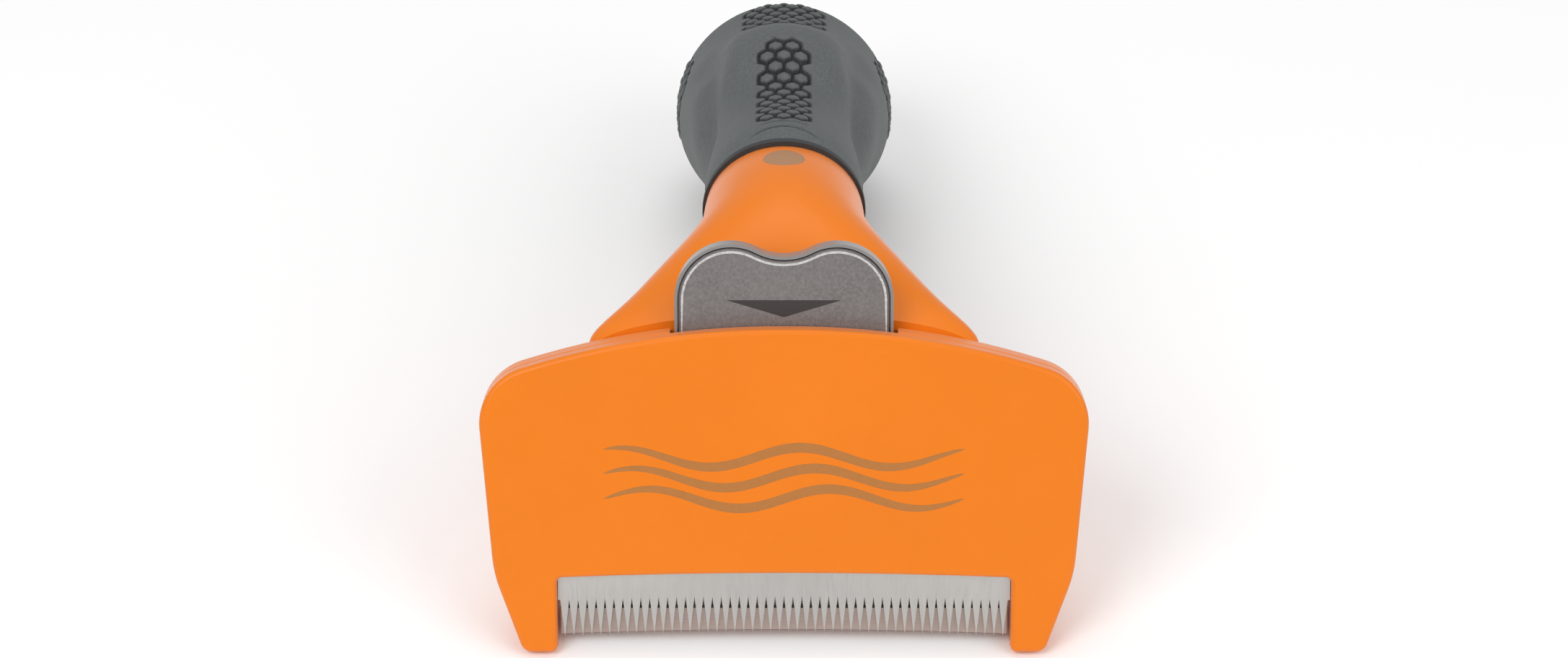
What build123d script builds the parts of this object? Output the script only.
from build123d import *
import os
from math import asin, atan2, cos, degrees, hypot, radians, sin

# Deshedding tool. Lengths are in millimetres and angles in degrees.
#
# The tool lies as it does on a table: on its two feet and on the underside of the grip's
# bulb. X runs across the head, Y runs from the head to the end of the grip, Z is up.
#
# The head has coordinates of its own: x across it, u up its front face from the ends of the
# feet, and b (back) the depth behind the front face. The front face leans back in the
# resting pose, so these are tilted in the part's frame.

# Head outline
HEAD_HEIGHT = 50.1
HEAD_TOP_RADIUS = 126.0
HEAD_CORNER = (46.05, 41.7)
HEAD_CORNER_RADIUS = 9.0
HEAD_WAIST = (43.75, 12.3)
HEAD_WAIST_RADIUS = 20.0
FOOT_OUTER_X = 39.4
FOOT_OUTER_RADIUS = 1.8
FOOT_INNER_RADIUS = 0.9
FOOT_HEEL_B = 2.5
CORNER_SEARCH = 1.0

# Blade opening
OPENING_HALF = 34.3
OPENING_TOP = 12.4
OPENING_RISE = 0.7
OPENING_CORNER_RADIUS = 0.9
OPENING_OVERRUN = 5.0

# Depths behind the front face
COVER_WALL = 1.8
SEAM_B = 3.0
BAND_B = 6.2
REAR_FLAT_B = 12.4
REAR_TAPER = 38.0
CAVITY_B = 9.9
CAVITY_FLOOR_U = 10.7
POCKET_FLOOR_U = 24.0
PLATE_SLOT_B = 6.1
SHELL_WALL = 2.2
SEAM_BEVEL = 0.25
FRONT_EDGE_RADIUS = 0.8
CUT_WIDTH = 200.0
CUT_OVERRUN = 1.0

# Blade
TOOTH_COUNT = 50
TOOTH_SPAN = 67.7
TIP_U = 2.75
ROOT_U = 8.5
TOOTH_SAG = 0.7
BLADE_HALF = 34.9
BLADE_SIDE_GAP = 0.1
BLADE_SHOULDER_U = 13.0
BLADE_TOP_U = 22.0
BLADE_FIT = 0.05

# Clamp bar, blade screws and dowels
CLAMP_HALF = 33.0
CLAMP_U = (14.5, 20.5)
CLAMP_B = (3.05, 4.65)
CLAMP_SCREW_X = 22.0
CLAMP_MID_U = 17.5
DOWEL_X = 30.0
DOWEL_RADIUS = 0.8
SMALL_SHANK_RADIUS = 0.9
SMALL_HEAD_RADIUS = 1.6
SMALL_HEAD_DEPTH = 0.9
SMALL_SLOT = (2.2, 0.4, 0.4)
CLAMP_END_RADIUS = 1.5
BLIND_B = 0.8

# Ejector
LIP_B = (3.3, 4.9)
LIP_TOP_U = 6.1
WEB_B = (4.9, 5.8)
WEB_TOP_U = 26.0
PLATE_HALF = 33.85
RIVET_X = 18.0
RIVET_U = 23.0
RIVET_HEAD_DEPTH = 0.6
CARRIAGE_B = (6.6, 8.6)
CARRIAGE_PAD_B = 5.85
CARRIAGE_BASE_HALF = 24.5
CARRIAGE_BASE_U = (19.5, 31.2)
CARRIAGE_ARM_HALF = 32.0
CARRIAGE_ARM_U = (31.0, 33.4)
CARRIAGE_ARM_B = (6.4, 9.2)
CARRIAGE_STEM_HALF = 12.5
CARRIAGE_STEM_TOP_U = 45.0
CARRIAGE_SCREW = (7.0, 42.3)
CARRIAGE_HEAD_RADIUS = 1.8
CARRIAGE_HEAD_DEPTH = 0.9
CARRIAGE_PAD_RADIUS = 2.6

# Button
BUTTON_B = (3.4, 6.4)
BUTTON_HALF = 16.35
BUTTON_LOBE_X = 7.9
BUTTON_LOBE_RADIUS = 8.45
BUTTON_TOP_U = 62.4
BUTTON_DIP_RADIUS = 8.66
BUTTON_FOOT_U = 40.0
BUTTON_FOOT_HALF = 15.0
BUTTON_FOOT_RISE = 3.0
BUTTON_SCREW_TIP_B = 4.6
BUTTON_PLATE_BEVEL = 0.35
BUTTON_RIM = 0.45
BUTTON_GROOVE = 0.2
BUTTON_RECESS = 1.0
BUTTON_PLATE_PROUD = 0.15
BUTTON_PLATE_FOOT_U = 46.0
SLOT_GAP = 0.7
SLOT_B = 6.95

# Springs and guide rods
ROD_X = 29.0
ROD_B = 7.7
ROD_RADIUS = 0.7
ROD_RUNNING_GAP = 0.1
SEAT_HALF = 2.6
SEAT_U = (14.5, 18.5)
STOP_U = (33.5, 36.8)
SEAT_B = 6.25
SEAT_REACH = 10.0
ROD_U = (15.5, 36.0)
SPRING_RADIUS = 1.45
SPRING_WIRE_RADIUS = 0.22
SPRING_PITCH = 1.5
SPRING_END_GAP = 0.25

# Cover screws
COVER_SCREWS = [(29.5, 39.5), (37.6, 16.5)]
BOSS_RADIUS = 2.4
TOWER_RADIUS = 3.1
BOSS_TOP_B = 7.0
COVER_SCREW_RADIUS = 1.05
COVER_HEAD_RADIUS = 2.0
COVER_HEAD_GAP = 0.2
COVER_HEAD_B = (8.6, 10.2)
COVER_SCREW_TIP_B = 2.4
CROSS_LENGTH = 2.4
CROSS_WIDTH = 0.6
CROSS_DEPTH = 0.8

# Neck: depth, height, tilt of the section, half width and half height
NECK = [
    (7.2, 45.6, 0, 28.4, 5.4),
    (8.9, 45.9, 3, 29.4, 6.6),
    (14.5, 47.8, 12, 25.7, 10.0),
    (22.0, 51.6, 19, 19.7, 12.4),
    (29.5, 55.2, 20, 14.7, 13.0),
    (36.5, 57.8, 17, 12.9, 12.5),
    (43.5, 59.8, 15, 12.3, 11.4),
    (48.5, 61.1, 14, 11.8, 11.0),
]
NECK_WALL = 2.4
NECK_CAVITY_FIRST = 2

# Grip: the same five values, from the collar to the middle of the bulb
GRIP = [
    (43.8, 59.9, 15, 12.7, 12.2),
    (48.2, 61.1, 13, 12.8, 12.6),
    (54.5, 61.9, 10, 12.9, 12.4),
    (63.0, 62.4, 6, 13.3, 12.1),
    (71.0, 63.2, 3, 14.3, 12.9),
    (78.0, 65.0, 0, 15.4, 15.6),
    (86.0, 65.9, -2, 16.4, 17.3),
    (95.0, 64.9, -5, 17.6, 16.9),
    (104.0, 64.0, -7, 18.5, 17.5),
    (115.0, 63.9, -8, 18.9, 18.6),
]
BULB_RADIUS = 18.6
BULB_ROUND_ANGLES = [24, 44, 62, 80]

# Stiff core inside the grip: the same five values, from inside the neck to inside the bulb
CORE = [
    (34.0, 56.9, 19, 9.8, 8.6),
    (43.5, 59.8, 15, 9.1, 8.2),
    (52.0, 61.7, 11, 9.1, 8.6),
    (62.0, 62.4, 6, 9.6, 9.0),
    (71.0, 63.2, 3, 10.2, 9.6),
    (84.0, 65.2, -1, 11.4, 11.4),
    (101.0, 65.0, -5, 12.6, 12.4),
    (115.0, 63.9, -8, 11.0, 10.8),
    (121.0, 63.1, -9, 8.0, 7.8),
]
CORE_WALL = 2.0
CORE_FIT = 0.1
CORE_SCREWS = [(58.0, 62.0), (84.0, 65.2), (108.0, 64.5)]
CORE_BOSS_RADIUS = 3.0
CORE_SCREW_RADIUS = 1.1
CORE_HEAD_RADIUS = 2.1
CORE_HEAD_X = (4.5, 6.2)
CORE_HEAD_GAP = 0.1
CORE_SCREW_TIP_X = -6.0
CORE_REACH = 20.0
NECK_BOLT = (10.6, 46.8, 23.3)
NECK_BOLT_RADIUS = 1.5
NECK_BOLT_LENGTH = 32.0
NECK_BOLT_HEAD_RADIUS = 2.8
NECK_BOLT_HEAD_DEPTH = 1.6

# Collar ring and badge
COLLAR = (43.6, 59.85, 15, 12.95, 12.4)
COLLAR_WIDTH = 1.2
COLLAR_FIT = 0.05
BADGE = (37.6, 58.1, 17)
BADGE_RADIUS = 3.3
BADGE_FLOOR = 10.9
BADGE_REACH = 4.0

# The part's frame: the front face leans back until the feet and the bulb share the table.
BULB_B = GRIP[-1][0]
BULB_U = GRIP[-1][1]
HEEL_TO_BULB = hypot(BULB_U, BULB_B - FOOT_HEEL_B)
LEAN = degrees(atan2(BULB_U, BULB_B - FOOT_HEEL_B) - asin(BULB_RADIUS / HEEL_TO_BULB))
HALF_LENGTH = 74.6
HEAD_Z = FOOT_HEEL_B * sin(radians(LEAN))
FRONT = (0, -cos(radians(LEAN)), sin(radians(LEAN)))
HEAD = Plane(origin=(0, -HALF_LENGTH, HEAD_Z), x_dir=(1, 0, 0), z_dir=FRONT)
UP_FACE = HEAD.y_dir
BACK = -HEAD.z_dir


def behind(b):
    """A plane parallel to the front face, b behind it, with x and u as its coordinates."""
    return HEAD.offset(-b)


def level(u):
    """A plane across the head at height u, with x and b as its coordinates."""
    return Plane(origin=HEAD.from_local_coords((0, u, 0)), x_dir=(1, 0, 0), z_dir=UP_FACE)


def beside(x):
    """A plane at x that faces +X, with b and u as its coordinates."""
    return Plane(origin=HEAD.from_local_coords((x, 0, 0)), x_dir=BACK, z_dir=(1, 0, 0))


def station(b, u, tilt):
    """A plane across the handle, facing the head, tilted back by the axis's rise."""
    facing = HEAD.z_dir * cos(radians(tilt)) - UP_FACE * sin(radians(tilt))
    return Plane(origin=HEAD.from_local_coords((0, u, -b)), x_dir=(1, 0, 0), z_dir=facing)


def tip_height(x):
    """Height of the tooth tips: a shallow arc, highest in the middle."""
    return TIP_U - TOOTH_SAG * (2 * x / TOOTH_SPAN) ** 2


def root_height(x):
    """Height of the notches between the teeth, on the same arc as the tips."""
    return tip_height(x) + ROOT_U - TIP_U


def draw_teeth():
    """The blade's toothed foot: sharp teeth that stand side by side along the arc of tips."""
    half = TOOTH_SPAN / 2
    pitch = TOOTH_SPAN / TOOTH_COUNT
    side = OPENING_HALF - BLADE_SIDE_GAP
    points = [(-side, BLADE_SHOULDER_U), (-side, root_height(half)), (-half, root_height(half))]
    for tooth in range(TOOTH_COUNT):
        notch_x = (tooth + 1) * pitch - half
        tip_x = notch_x - pitch / 2
        points.append((tip_x, tip_height(tip_x)))
        points.append((notch_x, root_height(notch_x)))
    points += [(side, root_height(half)), (side, BLADE_SHOULDER_U)]
    with BuildLine() as outline:
        Polyline(points, close=True)
    make_face(outline.edges())


def draw_strip(half, top):
    """A strip across the opening whose foot follows the arc of the tooth tips."""
    foot = (half, tip_height(half))
    with BuildLine() as outline:
        Polyline((-half, foot[1]), (-half, top), (half, top), foot)
        ThreePointArc((-half, foot[1]), (0, TIP_U), foot)
    make_face(outline.edges())


def draw_head():
    """The head's whole outline, without the blade opening."""
    with BuildLine() as outline:
        Line((0, 0), (FOOT_OUTER_X, 0))
        Line((FOOT_OUTER_X, 0), HEAD_WAIST)
        Line(HEAD_WAIST, HEAD_CORNER)
        RadiusArc(HEAD_CORNER, (0, HEAD_HEIGHT), -HEAD_TOP_RADIUS)
        mirror(about=Plane.YZ)
    make_face(outline.edges())


def round_head(outline):
    """Rounds the outline's corners: the shoulders, the waists and the outside of the feet."""
    fillet(outline.vertices().filter_by(is_near_height(HEAD_CORNER[1])), HEAD_CORNER_RADIUS)
    fillet(outline.vertices().filter_by(is_near_height(HEAD_WAIST[1])), HEAD_WAIST_RADIUS)
    fillet(outline.vertices().filter_by(is_foot_side), FOOT_OUTER_RADIUS)


def is_near_height(u):
    """A test for corners at about the height u."""
    return lambda corner: abs(corner.Y - u) < CORNER_SEARCH


def is_foot_side(corner):
    """Whether a corner is at the outer end of a foot."""
    return abs(corner.Y) < 0.1 and abs(abs(corner.X) - FOOT_OUTER_X) < 0.1


def is_foot_corner(corner):
    """Whether a corner is at the inner end of a foot."""
    return abs(corner.Y) < 0.1 and abs(abs(corner.X) - OPENING_HALF) < 0.1


def is_opening_corner(corner):
    """Whether a corner is at the top of the blade opening."""
    return corner.Y > 5 and abs(abs(corner.X) - OPENING_HALF) < 0.1


def draw_opening(top, mode=Mode.ADD):
    """The blade opening, open at the bottom, with an arched top of the given height."""
    side_u = top - OPENING_RISE
    with BuildLine() as outline:
        left = (-OPENING_HALF, side_u)
        right = (OPENING_HALF, side_u)
        Polyline(left, (-OPENING_HALF, -OPENING_OVERRUN), (OPENING_HALF, -OPENING_OVERRUN), right)
        ThreePointArc(left, (0, top), right)
    make_face(outline.edges(), mode=mode)


def draw_blade_blank(gap):
    """The blade's body before its teeth are cut, grown by a gap."""
    half = BLADE_HALF + gap
    with BuildLine() as outline:
        low = BLADE_SHOULDER_U - gap
        high = BLADE_TOP_U + gap
        Polyline((-half, low), (-half, high), (half, high), (half, low), close=True)
    make_face(outline.edges())


def draw_button(foot_u, half_foot):
    """The button's outline: straight sides and two lobes with a shallow dip between them."""
    lobe_u = BUTTON_TOP_U - BUTTON_LOBE_RADIUS
    reach = BUTTON_LOBE_RADIUS / (BUTTON_LOBE_RADIUS + BUTTON_DIP_RADIUS)
    dip_x = BUTTON_LOBE_X * (1 - reach)
    rise = (BUTTON_LOBE_RADIUS**2 - (BUTTON_LOBE_X - dip_x) ** 2) ** 0.5
    join = (dip_x, lobe_u + rise)
    dip_u = lobe_u + rise / reach - BUTTON_DIP_RADIUS
    lobe_top = (BUTTON_LOBE_X, BUTTON_TOP_U)
    with BuildLine() as outline:
        side_u = foot_u + BUTTON_FOOT_RISE
        Polyline((0, foot_u), (half_foot, foot_u), (BUTTON_HALF, side_u), (BUTTON_HALF, lobe_u))
        ThreePointArc((BUTTON_HALF, lobe_u), _on_lobe(lobe_u, 45), lobe_top)
        ThreePointArc(lobe_top, _on_lobe(lobe_u, 105), join)
        RadiusArc(join, (0, dip_u), BUTTON_DIP_RADIUS)
        mirror(about=Plane.YZ)
    make_face(outline.edges())


def _on_lobe(lobe_u, angle):
    """A point on the right lobe's circle at an angle from +X."""
    reach = BUTTON_LOBE_RADIUS
    return (BUTTON_LOBE_X + reach * cos(radians(angle)), lobe_u + reach * sin(radians(angle)))


def cover_screw_places():
    """The four cover screws' places on the head."""
    return [(side * x, u) for x, u in COVER_SCREWS for side in (-1, 1)]


def blade_screw_places():
    """The three blade screws' places on the head."""
    return [(x, CLAMP_MID_U) for x in (-CLAMP_SCREW_X, 0, CLAMP_SCREW_X)]


def dowel_places():
    """The two blade dowels' places on the head."""
    return [(-DOWEL_X, CLAMP_MID_U), (DOWEL_X, CLAMP_MID_U)]


def rivet_places():
    """The three plate rivets' places on the head."""
    return [(x, RIVET_U) for x in (-RIVET_X, 0, RIVET_X)]


def carriage_screw_places():
    """The two carriage screws' places on the head."""
    return [(side * CARRIAGE_SCREW[0], CARRIAGE_SCREW[1]) for side in (-1, 1)]


def bulb_end():
    """Stations that round off the bulb behind its middle, as on a ball."""
    b, u, tilt, half_width, half_height = GRIP[-1]
    stations = []
    for angle in BULB_ROUND_ANGLES:
        along = BULB_RADIUS * sin(radians(angle))
        shrink = cos(radians(angle))
        centre = (b + along * cos(radians(tilt)), u + along * sin(radians(tilt)))
        stations.append((*centre, tilt, half_width * shrink, half_height * shrink))
    return stations


def loft_through(stations, growth=0, mode=Mode.ADD):
    """Lofts through a list of elliptical stations, each grown by the same amount."""
    sections = []
    for b, u, tilt, half_width, half_height in stations:
        with BuildSketch(station(b, u, tilt)) as section:
            Ellipse(half_width + growth, half_height + growth)
        sections.append(section.sketch.face())
    loft(sections, mode=mode)


def bolt_plane(along=0):
    """A plane across the neck bolt, facing back, at a distance from its head's underside."""
    b, u, tilt = NECK_BOLT
    axis = station(b, u, tilt).z_dir * -1
    start = HEAD.from_local_coords((0, u, -b))
    return Plane(origin=start + axis * along, x_dir=(1, 0, 0), z_dir=axis)


def badge_plane(height):
    """A plane square to the neck's back at the badge, at a height above the neck's axis."""
    across = station(*BADGE)
    return Plane(origin=across.origin, x_dir=(1, 0, 0), z_dir=across.y_dir).offset(height)


def is_outer_edge(edge):
    """Whether an edge of the front face is on the head's outside and not on the opening."""
    middle = HEAD.to_local_coords(edge @ 0.5)
    return abs(middle.X) > OPENING_HALF + 1 or middle.Y > OPENING_TOP + 5


def write(part, name):
    """Labels a finished piece and writes its file."""
    part.label = name
    export_step(part, f"parts/{name}.step")


os.makedirs("parts", exist_ok=True)

# Solids that several pieces share, kept out of the written parts
with BuildPart() as head_shell:
    with BuildSketch(behind(SEAM_B)) as band_outline:
        draw_head()
        round_head(band_outline)
    extrude(amount=SEAM_B - BAND_B)
    seam_rim = head_shell.faces().sort_by(Axis(HEAD.origin, HEAD.z_dir))[-1]
    chamfer(seam_rim.edges().filter_by(is_outer_edge), SEAM_BEVEL)
    with BuildSketch(behind(BAND_B)) as taper_outline:
        draw_head()
        round_head(taper_outline)
    extrude(amount=BAND_B - REAR_FLAT_B, taper=REAR_TAPER)

with BuildPart() as neck_shell:
    loft_through(NECK)

with BuildPart() as neck_cavity:
    loft_through(NECK[NECK_CAVITY_FIRST:], -NECK_WALL)

with BuildPart() as core_hollow:
    loft_through(CORE[1:-1], -CORE_WALL)
    with BuildSketch(beside(-CORE_REACH)):
        with Locations(CORE_SCREWS):
            Circle(CORE_BOSS_RADIUS)
    extrude(amount=2 * CORE_REACH, mode=Mode.SUBTRACT)

with BuildPart() as head_cavity:
    with BuildSketch(behind(SEAM_B)) as cavity_outline:
        draw_head()
        round_head(cavity_outline)
        offset(amount=-SHELL_WALL)
        with Locations((0, 0)):
            Rectangle(CUT_WIDTH, 2 * CAVITY_FLOOR_U, mode=Mode.SUBTRACT)
    extrude(amount=SEAM_B - BAND_B)
    with BuildSketch(behind(BAND_B)) as cavity_taper:
        draw_head()
        round_head(cavity_taper)
        offset(amount=-SHELL_WALL)
        with Locations((0, 0)):
            Rectangle(CUT_WIDTH, 2 * CAVITY_FLOOR_U, mode=Mode.SUBTRACT)
    extrude(amount=BAND_B - CAVITY_B, taper=REAR_TAPER)
    with BuildSketch(behind(BOSS_TOP_B)):
        with Locations(cover_screw_places()):
            Circle(TOWER_RADIUS)
    extrude(amount=BOSS_TOP_B - REAR_FLAT_B, mode=Mode.SUBTRACT)
    for seat_u in (SEAT_U, STOP_U):
        with BuildSketch(level(seat_u[0])):
            with Locations((-ROD_X, SEAT_B), (ROD_X, SEAT_B)):
                Rectangle(2 * SEAT_HALF, SEAT_REACH, align=(Align.CENTER, Align.MIN))
        extrude(amount=seat_u[1] - seat_u[0], mode=Mode.SUBTRACT)

# Front cover: the front wall, the feet and the blade opening, with bosses for the screws
with BuildPart() as front_cover:
    with BuildSketch(behind(0)) as cover_outline:
        draw_head()
        round_head(cover_outline)
        draw_opening(OPENING_TOP, Mode.SUBTRACT)
        fillet(cover_outline.vertices().filter_by(is_opening_corner), OPENING_CORNER_RADIUS)
        fillet(cover_outline.vertices().filter_by(is_foot_corner), FOOT_INNER_RADIUS)
    extrude(amount=-SEAM_B)
    front_rim = front_cover.faces().sort_by(Axis(HEAD.origin, HEAD.z_dir))[-1]
    fillet(front_rim.edges().filter_by(is_outer_edge), FRONT_EDGE_RADIUS)
    seam_rim = front_cover.faces().sort_by(Axis(HEAD.origin, HEAD.z_dir))[0]
    chamfer(seam_rim.edges().filter_by(is_outer_edge), SEAM_BEVEL)
    with BuildSketch(behind(COVER_WALL)) as cover_pocket:
        draw_head()
        round_head(cover_pocket)
        offset(amount=-SHELL_WALL)
        with Locations((0, 0)):
            Rectangle(CUT_WIDTH, 2 * POCKET_FLOOR_U, mode=Mode.SUBTRACT)
    extrude(amount=COVER_WALL - SEAM_B, mode=Mode.SUBTRACT)
    with BuildSketch(behind(COVER_WALL)) as blade_seat:
        draw_blade_blank(BLADE_FIT)
        draw_opening(BLADE_SHOULDER_U + OPENING_RISE)
    extrude(amount=COVER_WALL - SEAM_B, mode=Mode.SUBTRACT)
    with BuildSketch(behind(COVER_WALL)):
        with Locations(cover_screw_places()):
            Circle(BOSS_RADIUS)
    extrude(amount=COVER_WALL - BOSS_TOP_B)
    with BuildSketch(behind(COVER_SCREW_TIP_B)):
        with Locations(cover_screw_places()):
            Circle(COVER_SCREW_RADIUS)
    extrude(amount=COVER_SCREW_TIP_B - BOSS_TOP_B, mode=Mode.SUBTRACT)
    with BuildSketch(behind(BLIND_B)):
        with Locations(blade_screw_places()):
            Circle(SMALL_SHANK_RADIUS)
        with Locations(dowel_places()):
            Circle(DOWEL_RADIUS)
    extrude(amount=BLIND_B - SEAM_B, mode=Mode.SUBTRACT)
    split(bisect_by=Plane.XY, keep=Keep.TOP)
write(front_cover.part, "front_cover")

# Rear housing: the back of the head and the flared neck, one hollow moulding
with BuildPart() as rear_housing:
    add(head_shell.part)
    add(neck_shell.part)
    add(head_cavity.part, mode=Mode.SUBTRACT)
    add(neck_cavity.part, mode=Mode.SUBTRACT)
    with BuildSketch(behind(SEAM_B - CUT_OVERRUN)):
        draw_opening(CAVITY_FLOOR_U - SHELL_WALL)
    extrude(amount=-REAR_FLAT_B, mode=Mode.SUBTRACT)
    with BuildSketch(behind(SEAM_B - CUT_OVERRUN)):
        with Locations((0, CAVITY_FLOOR_U)):
            Rectangle(2 * OPENING_HALF, 4 * SHELL_WALL)
    extrude(amount=SEAM_B - CUT_OVERRUN - PLATE_SLOT_B, mode=Mode.SUBTRACT)
    with BuildSketch(behind(SEAM_B - CUT_OVERRUN)):
        with Locations((0, HEAD_HEIGHT)):
            Rectangle(2 * (BUTTON_HALF + SLOT_GAP), 4 * SHELL_WALL)
    extrude(amount=SEAM_B - CUT_OVERRUN - SLOT_B, mode=Mode.SUBTRACT)
    with BuildSketch(behind(BOSS_TOP_B - CUT_OVERRUN)):
        with Locations(cover_screw_places()):
            Circle(COVER_SCREW_RADIUS)
    extrude(amount=-REAR_FLAT_B, mode=Mode.SUBTRACT)
    with BuildSketch(behind(COVER_HEAD_B[0])):
        with Locations(cover_screw_places()):
            Circle(COVER_HEAD_RADIUS + COVER_HEAD_GAP)
    extrude(amount=-REAR_FLAT_B, mode=Mode.SUBTRACT)
    with BuildSketch(level(ROD_U[0])):
        with Locations((-ROD_X, ROD_B), (ROD_X, ROD_B)):
            Circle(ROD_RADIUS)
    extrude(amount=ROD_U[1] - ROD_U[0], mode=Mode.SUBTRACT)
    with BuildSketch(bolt_plane()):
        Circle(NECK_BOLT_RADIUS)
    extrude(amount=NECK_BOLT_LENGTH, mode=Mode.SUBTRACT)
    with BuildSketch(bolt_plane()):
        Circle(NECK_BOLT_HEAD_RADIUS)
    extrude(amount=-2 * NECK_BOLT_HEAD_DEPTH, mode=Mode.SUBTRACT)
    with BuildSketch(badge_plane(BADGE_FLOOR)):
        Circle(BADGE_RADIUS)
    extrude(amount=BADGE_REACH, mode=Mode.SUBTRACT)
    split(bisect_by=Plane.XY, keep=Keep.TOP)
write(rear_housing.part, "rear_housing")

# Comb blade: a flat blade with pointed teeth ground along its lower edge
with BuildPart() as comb_blade:
    with BuildSketch(behind(COVER_WALL)):
        draw_blade_blank(0)
        draw_teeth()
        with Locations(blade_screw_places()):
            Circle(SMALL_SHANK_RADIUS, mode=Mode.SUBTRACT)
        with Locations(dowel_places()):
            Circle(DOWEL_RADIUS, mode=Mode.SUBTRACT)
    extrude(amount=COVER_WALL - SEAM_B)
write(comb_blade.part, "comb_blade")

# Blade clamp bar: a steel strip that presses the blade into its seat
with BuildPart() as blade_clamp_bar:
    with BuildSketch(behind(CLAMP_B[0])):
        with Locations((0, CLAMP_MID_U)):
            RectangleRounded(2 * CLAMP_HALF, CLAMP_U[1] - CLAMP_U[0], CLAMP_END_RADIUS)
        with Locations(blade_screw_places()):
            Circle(SMALL_SHANK_RADIUS, mode=Mode.SUBTRACT)
        with Locations(dowel_places()):
            Circle(DOWEL_RADIUS, mode=Mode.SUBTRACT)
    extrude(amount=CLAMP_B[0] - CLAMP_B[1])
    with BuildSketch(behind(CLAMP_B[1])):
        with Locations(blade_screw_places()):
            Circle(SMALL_HEAD_RADIUS)
    extrude(amount=SMALL_HEAD_DEPTH, mode=Mode.SUBTRACT)
write(blade_clamp_bar.part, "blade_clamp_bar")

# Blade screws: three short screws, their heads flush in the clamp bar
with BuildPart() as blade_screws:
    with BuildSketch(behind(CLAMP_B[1])):
        with Locations(blade_screw_places()):
            Circle(SMALL_HEAD_RADIUS)
    extrude(amount=SMALL_HEAD_DEPTH)
    with BuildSketch(behind(CLAMP_B[1])):
        with Locations(blade_screw_places()):
            Circle(SMALL_SHANK_RADIUS)
    extrude(amount=CLAMP_B[1] - BLIND_B)
    with BuildSketch(behind(CLAMP_B[1])):
        with Locations(blade_screw_places()):
            Rectangle(SMALL_SLOT[0], SMALL_SLOT[1])
    extrude(amount=SMALL_SLOT[2], mode=Mode.SUBTRACT)
write(blade_screws.part, "blade_screws")

# Blade dowels: two plain pins through the blade and the clamp bar
with BuildPart() as blade_dowels:
    with BuildSketch(behind(CLAMP_B[1])):
        with Locations(dowel_places()):
            Circle(DOWEL_RADIUS)
    extrude(amount=CLAMP_B[1] - BLIND_B)
write(blade_dowels.part, "blade_dowels")

# Ejector plate: a thin web with a lip along its foot that sweeps behind the teeth
with BuildPart() as ejector_plate:
    with BuildSketch(behind(WEB_B[0])):
        draw_strip(PLATE_HALF, WEB_TOP_U)
        with Locations(rivet_places()):
            Circle(SMALL_SHANK_RADIUS, mode=Mode.SUBTRACT)
    extrude(amount=WEB_B[0] - WEB_B[1])
    with BuildSketch(behind(LIP_B[0])):
        draw_strip(PLATE_HALF, LIP_TOP_U)
    extrude(amount=LIP_B[0] - LIP_B[1])
write(ejector_plate.part, "ejector_plate")

# Plate rivets: three rivets, flush in the plate and headed behind the carriage
with BuildPart() as plate_rivets:
    with BuildSketch(behind(CARRIAGE_B[1])):
        with Locations(rivet_places()):
            Circle(SMALL_SHANK_RADIUS)
    extrude(amount=CARRIAGE_B[1] - WEB_B[0])
    with BuildSketch(behind(CARRIAGE_B[1])):
        with Locations(rivet_places()):
            Circle(SMALL_HEAD_RADIUS)
    extrude(amount=-RIVET_HEAD_DEPTH)
write(plate_rivets.part, "plate_rivets")

# Ejector carriage: the slide between the button and the plate, with an arm over each spring
with BuildPart() as ejector_carriage:
    with BuildSketch(behind(CARRIAGE_B[0])):
        with Locations((0, sum(CARRIAGE_BASE_U) / 2)):
            Rectangle(2 * CARRIAGE_BASE_HALF, CARRIAGE_BASE_U[1] - CARRIAGE_BASE_U[0])
        with Locations((0, (CARRIAGE_BASE_U[1] + CARRIAGE_STEM_TOP_U) / 2)):
            Rectangle(2 * CARRIAGE_STEM_HALF, CARRIAGE_STEM_TOP_U - CARRIAGE_BASE_U[1])
    extrude(amount=CARRIAGE_B[0] - CARRIAGE_B[1])
    with BuildSketch(behind(CARRIAGE_ARM_B[0])):
        with Locations((0, sum(CARRIAGE_ARM_U) / 2)):
            Rectangle(2 * CARRIAGE_ARM_HALF, CARRIAGE_ARM_U[1] - CARRIAGE_ARM_U[0])
    extrude(amount=CARRIAGE_ARM_B[0] - CARRIAGE_ARM_B[1])
    with BuildSketch(behind(CARRIAGE_PAD_B)):
        with Locations(rivet_places()):
            Circle(CARRIAGE_PAD_RADIUS)
    extrude(amount=CARRIAGE_PAD_B - CARRIAGE_B[0])
    with BuildSketch(behind(CARRIAGE_PAD_B)):
        with Locations(rivet_places()):
            Circle(SMALL_SHANK_RADIUS)
        with Locations(carriage_screw_places()):
            Circle(SMALL_SHANK_RADIUS)
    extrude(amount=CARRIAGE_PAD_B - CARRIAGE_B[1], mode=Mode.SUBTRACT)
    with BuildSketch(level(CARRIAGE_ARM_U[0])):
        with Locations((-ROD_X, ROD_B), (ROD_X, ROD_B)):
            Circle(ROD_RADIUS + ROD_RUNNING_GAP)
    extrude(amount=CARRIAGE_ARM_U[1] - CARRIAGE_ARM_U[0], mode=Mode.SUBTRACT)
write(ejector_carriage.part, "ejector_carriage")

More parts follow.
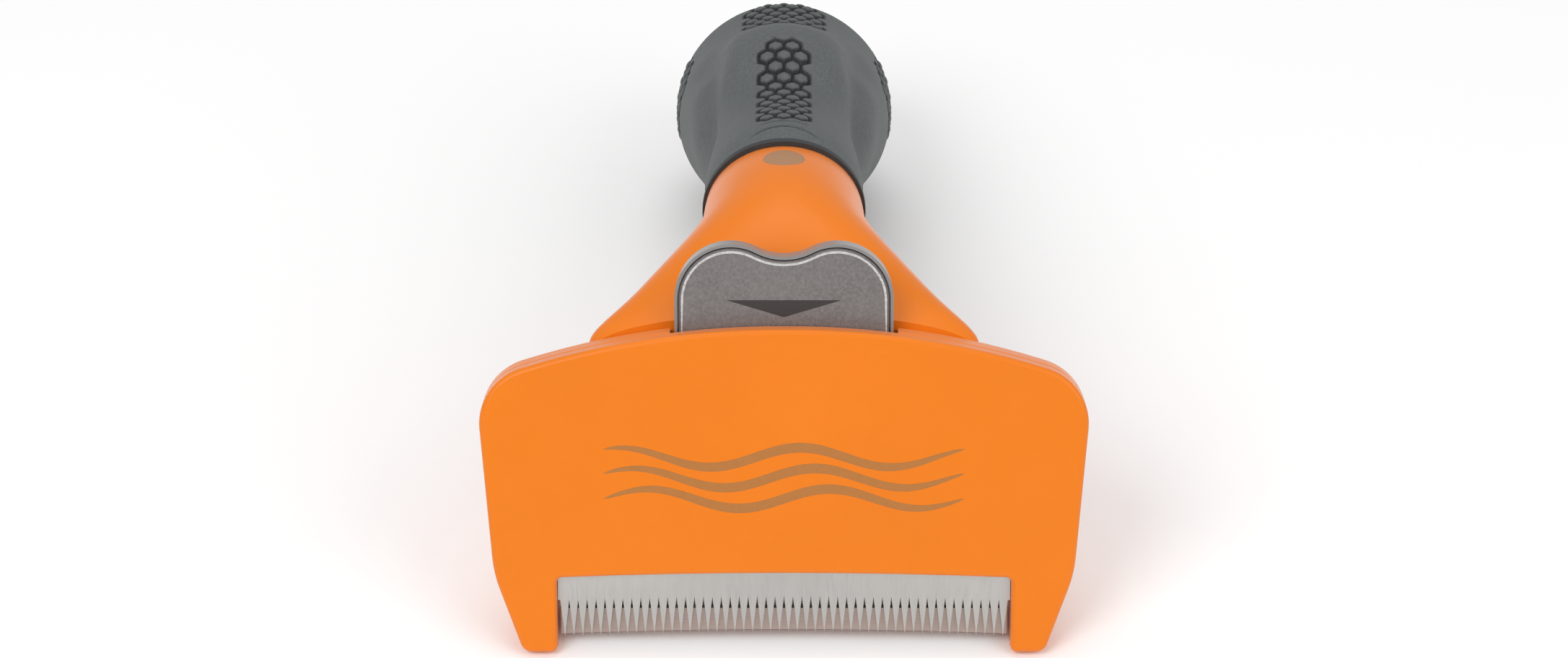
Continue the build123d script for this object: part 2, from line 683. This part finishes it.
# Carriage screws: two screws from behind that hold the button on the carriage
with BuildPart() as carriage_screws:
    with BuildSketch(behind(CARRIAGE_B[1])):
        with Locations(carriage_screw_places()):
            Circle(SMALL_SHANK_RADIUS)
    extrude(amount=CARRIAGE_B[1] - BUTTON_SCREW_TIP_B)
    with BuildSketch(behind(CARRIAGE_B[1])):
        with Locations(carriage_screw_places()):
            Circle(CARRIAGE_HEAD_RADIUS)
    extrude(amount=-CARRIAGE_HEAD_DEPTH)
write(carriage_screws.part, "carriage_screws")

# Ejector button: a lobed push button with a raised rim round a recess
with BuildPart() as ejector_button:
    with BuildSketch(behind(BUTTON_B[0])):
        draw_button(BUTTON_FOOT_U, BUTTON_FOOT_HALF)
    extrude(amount=BUTTON_B[0] - BUTTON_B[1])
    with BuildSketch(behind(BUTTON_B[0])):
        draw_button(BUTTON_PLATE_FOOT_U - BUTTON_RIM, BUTTON_HALF)
        offset(amount=-BUTTON_RIM)
    extrude(amount=-BUTTON_RECESS, mode=Mode.SUBTRACT)
    with BuildSketch(behind(BUTTON_SCREW_TIP_B)):
        with Locations(carriage_screw_places()):
            Circle(SMALL_SHANK_RADIUS)
    extrude(amount=BUTTON_SCREW_TIP_B - BUTTON_B[1], mode=Mode.SUBTRACT)
write(ejector_button.part, "ejector_button")

# Button plate: the satin plate set in the button's recess
with BuildPart() as button_plate:
    with BuildSketch(behind(BUTTON_B[0] - BUTTON_PLATE_PROUD)):
        draw_button(BUTTON_PLATE_FOOT_U - BUTTON_RIM, BUTTON_HALF)
        offset(amount=-BUTTON_RIM - BUTTON_GROOVE)
    extrude(amount=-BUTTON_PLATE_PROUD - BUTTON_RECESS)
    plate_front = button_plate.faces().sort_by(Axis(HEAD.origin, HEAD.z_dir))[-1]
    chamfer(plate_front.edges(), BUTTON_PLATE_BEVEL)
write(button_plate.part, "button_plate")

# Guide rods and return springs, one pair on each side
for side_name, side in (("left", -1), ("right", 1)):
    with BuildPart() as guide_rod:
        with BuildSketch(level(ROD_U[0])):
            with Locations((side * ROD_X, ROD_B)):
                Circle(ROD_RADIUS)
        extrude(amount=ROD_U[1] - ROD_U[0])
    write(guide_rod.part, f"guide_rod_{side_name}")

    spring_foot = SEAT_U[1] + SPRING_END_GAP
    spring_height = CARRIAGE_ARM_U[0] - SPRING_END_GAP - spring_foot
    with BuildPart() as return_spring:
        with BuildLine() as coil:
            Helix(
                SPRING_PITCH,
                spring_height,
                SPRING_RADIUS,
                center=HEAD.from_local_coords((side * ROD_X, spring_foot, -ROD_B)),
                direction=UP_FACE,
            )
        with BuildSketch(Plane(origin=coil.edges()[0] @ 0, z_dir=coil.edges()[0] % 0)):
            Circle(SPRING_WIRE_RADIUS)
        sweep(path=coil.edges()[0], is_frenet=True)
    write(return_spring.part, f"return_spring_{side_name}")

# Cover screws: four screws from behind, into the front cover's bosses
with BuildPart() as cover_screws:
    with BuildSketch(behind(COVER_HEAD_B[0])):
        with Locations(cover_screw_places()):
            Circle(COVER_SCREW_RADIUS)
    extrude(amount=COVER_HEAD_B[0] - COVER_SCREW_TIP_B)
    with BuildSketch(behind(COVER_HEAD_B[0])):
        with Locations(cover_screw_places()):
            Circle(COVER_HEAD_RADIUS)
    extrude(amount=COVER_HEAD_B[0] - COVER_HEAD_B[1])
    with BuildSketch(behind(COVER_HEAD_B[1])):
        with Locations(cover_screw_places()):
            Rectangle(CROSS_LENGTH, CROSS_WIDTH)
            Rectangle(CROSS_WIDTH, CROSS_LENGTH)
    extrude(amount=CROSS_DEPTH, mode=Mode.SUBTRACT)
write(cover_screws.part, "cover_screws")

# Grip sleeve: the rubber over the core, from the collar's mouth to the bulb
with BuildPart() as grip_sleeve:
    loft_through(GRIP + bulb_end())
    loft_through(CORE, CORE_FIT, Mode.SUBTRACT)
    loft_through(NECK, CORE_FIT, Mode.SUBTRACT)
    split(bisect_by=Plane.XY, keep=Keep.TOP)
write(grip_sleeve.part, "grip_sleeve")

# Handle core: two hollow halves that meet on the middle plane
for side_name, kept_side in (("left", Keep.BOTTOM), ("right", Keep.TOP)):
    with BuildPart() as handle_core:
        loft_through(CORE)
        add(core_hollow.part, mode=Mode.SUBTRACT)
        with BuildSketch(beside(CORE_SCREW_TIP_X)):
            with Locations(CORE_SCREWS):
                Circle(CORE_SCREW_RADIUS)
        extrude(amount=CORE_REACH, mode=Mode.SUBTRACT)
        with BuildSketch(beside(CORE_HEAD_X[0])):
            with Locations(CORE_SCREWS):
                Circle(CORE_HEAD_RADIUS + CORE_HEAD_GAP)
        extrude(amount=CORE_REACH, mode=Mode.SUBTRACT)
        with BuildSketch(bolt_plane()):
            Circle(NECK_BOLT_RADIUS)
        extrude(amount=NECK_BOLT_LENGTH, mode=Mode.SUBTRACT)
        split(bisect_by=Plane.YZ, keep=kept_side)
    write(handle_core.part, f"handle_core_{side_name}")

# Core screws: three screws across the core, from the right half into the left
with BuildPart() as core_screws:
    with BuildSketch(beside(CORE_SCREW_TIP_X)):
        with Locations(CORE_SCREWS):
            Circle(CORE_SCREW_RADIUS)
    extrude(amount=CORE_HEAD_X[0] - CORE_SCREW_TIP_X)
    with BuildSketch(beside(CORE_HEAD_X[0])):
        with Locations(CORE_SCREWS):
            Circle(CORE_HEAD_RADIUS)
    extrude(amount=CORE_HEAD_X[1] - CORE_HEAD_X[0])
    with BuildSketch(beside(CORE_HEAD_X[1])):
        with Locations(CORE_SCREWS):
            Rectangle(CROSS_LENGTH, CROSS_WIDTH)
            Rectangle(CROSS_WIDTH, CROSS_LENGTH)
    extrude(amount=-CROSS_DEPTH, mode=Mode.SUBTRACT)
write(core_screws.part, "core_screws")

# Neck bolt: from inside the head, through the neck's closed end, into the core's front
with BuildPart() as neck_bolt:
    with BuildSketch(bolt_plane()):
        Circle(NECK_BOLT_RADIUS)
    extrude(amount=NECK_BOLT_LENGTH)
    with BuildSketch(bolt_plane()):
        Circle(NECK_BOLT_HEAD_RADIUS - CORE_HEAD_GAP)
    extrude(amount=-NECK_BOLT_HEAD_DEPTH)
write(neck_bolt.part, "neck_bolt")

# Collar ring: a smooth ring round the neck in front of the rubber's mouth
with BuildPart() as collar_ring:
    b, u, tilt, half_width, half_height = COLLAR
    with BuildSketch(station(b, u, tilt)):
        Ellipse(half_width, half_height)
    extrude(amount=COLLAR_WIDTH)
    loft_through(NECK, COLLAR_FIT, Mode.SUBTRACT)
write(collar_ring.part, "collar_ring")

# Size badge: a thin disc let into the top of the neck, flush with it
with BuildPart() as size_badge:
    add(neck_shell.part)
    with BuildSketch(badge_plane(BADGE_FLOOR)):
        Circle(BADGE_RADIUS)
    extrude(amount=BADGE_REACH, mode=Mode.INTERSECT)
write(size_badge.part, "size_badge")
